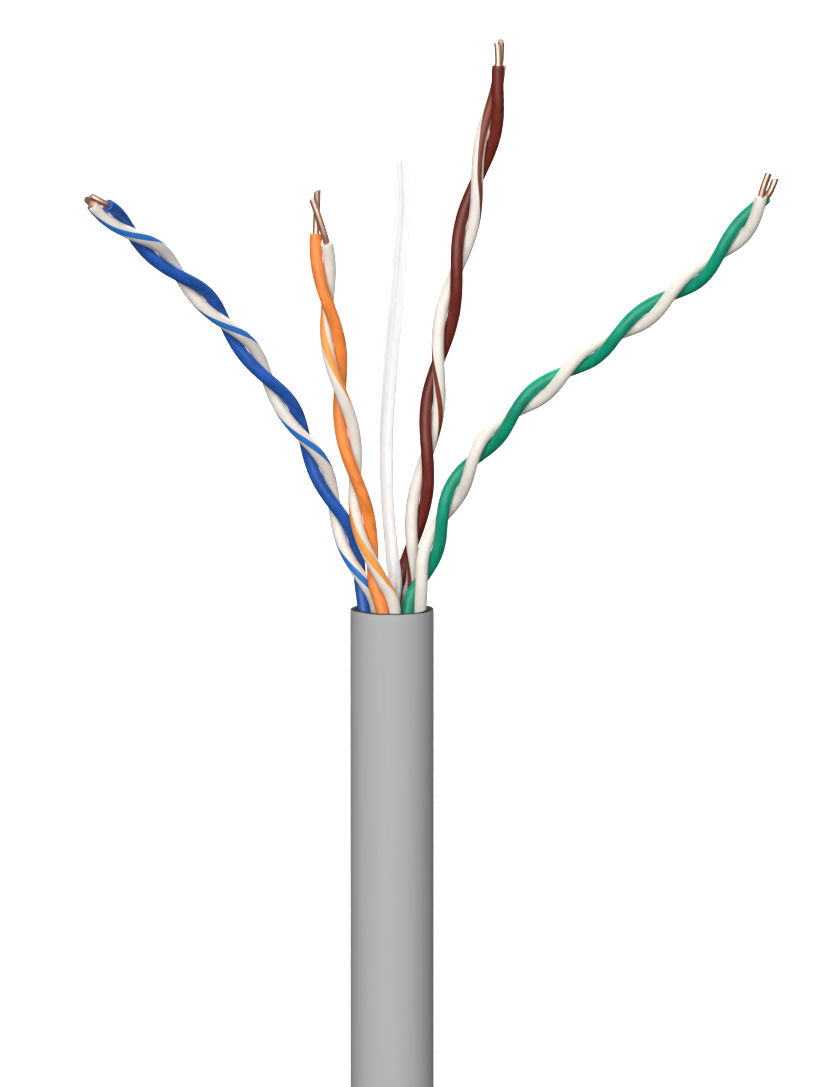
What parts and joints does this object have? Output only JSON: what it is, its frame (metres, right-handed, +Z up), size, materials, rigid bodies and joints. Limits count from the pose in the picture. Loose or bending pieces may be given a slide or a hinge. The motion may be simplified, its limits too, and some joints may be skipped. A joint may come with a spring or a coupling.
{
  "type": "twisted-pair cable end",
  "caption": "Stripped upright end of a round network cable: grey jacket, twisted colour-coded solid copper pairs fanned out at the mouth, and a milky centre separator.",
  "frame": {"origin": "centre of the square-cut lower end of the cable, on the jacket's axis and on the separator's cut face", "axes": "+Z up along the jacket's axis towards the stripped end; the pairs fan out mostly along +X and -X, seen from -Y"},
  "size_m": [0.0492, 0.0172, 0.0767],
  "materials": {
    "jacket_pvc": "plain satin grey PVC",
    "separator_pe": "milky translucent polyethylene",
    "blue_pe": "extruded polyethylene, slightly glossy",
    "orange_pe": "extruded polyethylene, slightly glossy",
    "green_pe": "extruded polyethylene, slightly glossy",
    "brown_pe": "extruded polyethylene, slightly glossy",
    "white_blue_pe": "warm white polyethylene with a blue stripe",
    "white_orange_pe": "warm white polyethylene with an orange stripe",
    "white_green_pe": "warm white polyethylene, plain",
    "white_brown_pe": "warm white polyethylene with a brown stripe",
    "copper": "bright drawn bare copper, sheared ends"
  },
  "bodies": {
    "cable": {"jacket": "jacket_pvc", "separator": "separator_pe", "blue_insulation_in_jacket": "blue_pe", "blue_core_in_jacket": "copper", "white_blue_insulation_in_jacket": "white_blue_pe", "white_blue_core_in_jacket": "copper", "orange_insulation_in_jacket": "orange_pe", "orange_core_in_jacket": "copper", "white_orange_insulation_in_jacket": "white_orange_pe", "white_orange_core_in_jacket": "copper", "green_insulation_in_jacket": "green_pe", "green_core_in_jacket": "copper", "white_green_insulation_in_jacket": "white_green_pe", "white_green_core_in_jacket": "copper", "brown_insulation_in_jacket": "brown_pe", "brown_core_in_jacket": "copper", "white_brown_insulation_in_jacket": "white_brown_pe", "white_brown_core_in_jacket": "copper"},
    "blue_pair": {"blue_insulation": "blue_pe", "blue_core": "copper", "white_blue_insulation": "white_blue_pe", "white_blue_core": "copper"},
    "orange_pair": {"orange_insulation": "orange_pe", "orange_core": "copper", "white_orange_insulation": "white_orange_pe", "white_orange_core": "copper"},
    "green_pair": {"green_insulation": "green_pe", "green_core": "copper", "white_green_insulation": "white_green_pe", "white_green_core": "copper"},
    "brown_pair": {"brown_insulation": "brown_pe", "brown_core": "copper", "white_brown_insulation": "white_brown_pe", "white_brown_core": "copper"}
  },
  "joints": [
    {"name": "blue_pair_bend", "type": "hinge", "parent": "cable", "child": "blue_pair", "pos_m": [-0.00182, 0.00018, 0.037], "axis": [0.517, -0.856, 0], "range_deg": [-10, 30]},
    {"name": "orange_pair_bend", "type": "hinge", "parent": "cable", "child": "orange_pair", "pos_m": [-0.00051, -0.00149, 0.037], "axis": [0.866, -0.5, 0], "range_deg": [-8, 30]},
    {"name": "green_pair_bend", "type": "hinge", "parent": "cable", "child": "green_pair", "pos_m": [0.00179, -0.00035, 0.037], "axis": [0.3401, 0.9404, 0], "range_deg": [-10, 30]},
    {"name": "brown_pair_bend", "type": "hinge", "parent": "cable", "child": "brown_pair", "pos_m": [0.00081, 0.0015, 0.037], "axis": [-0.866, 0.5, 0], "range_deg": [-10, 30]}
  ]
}
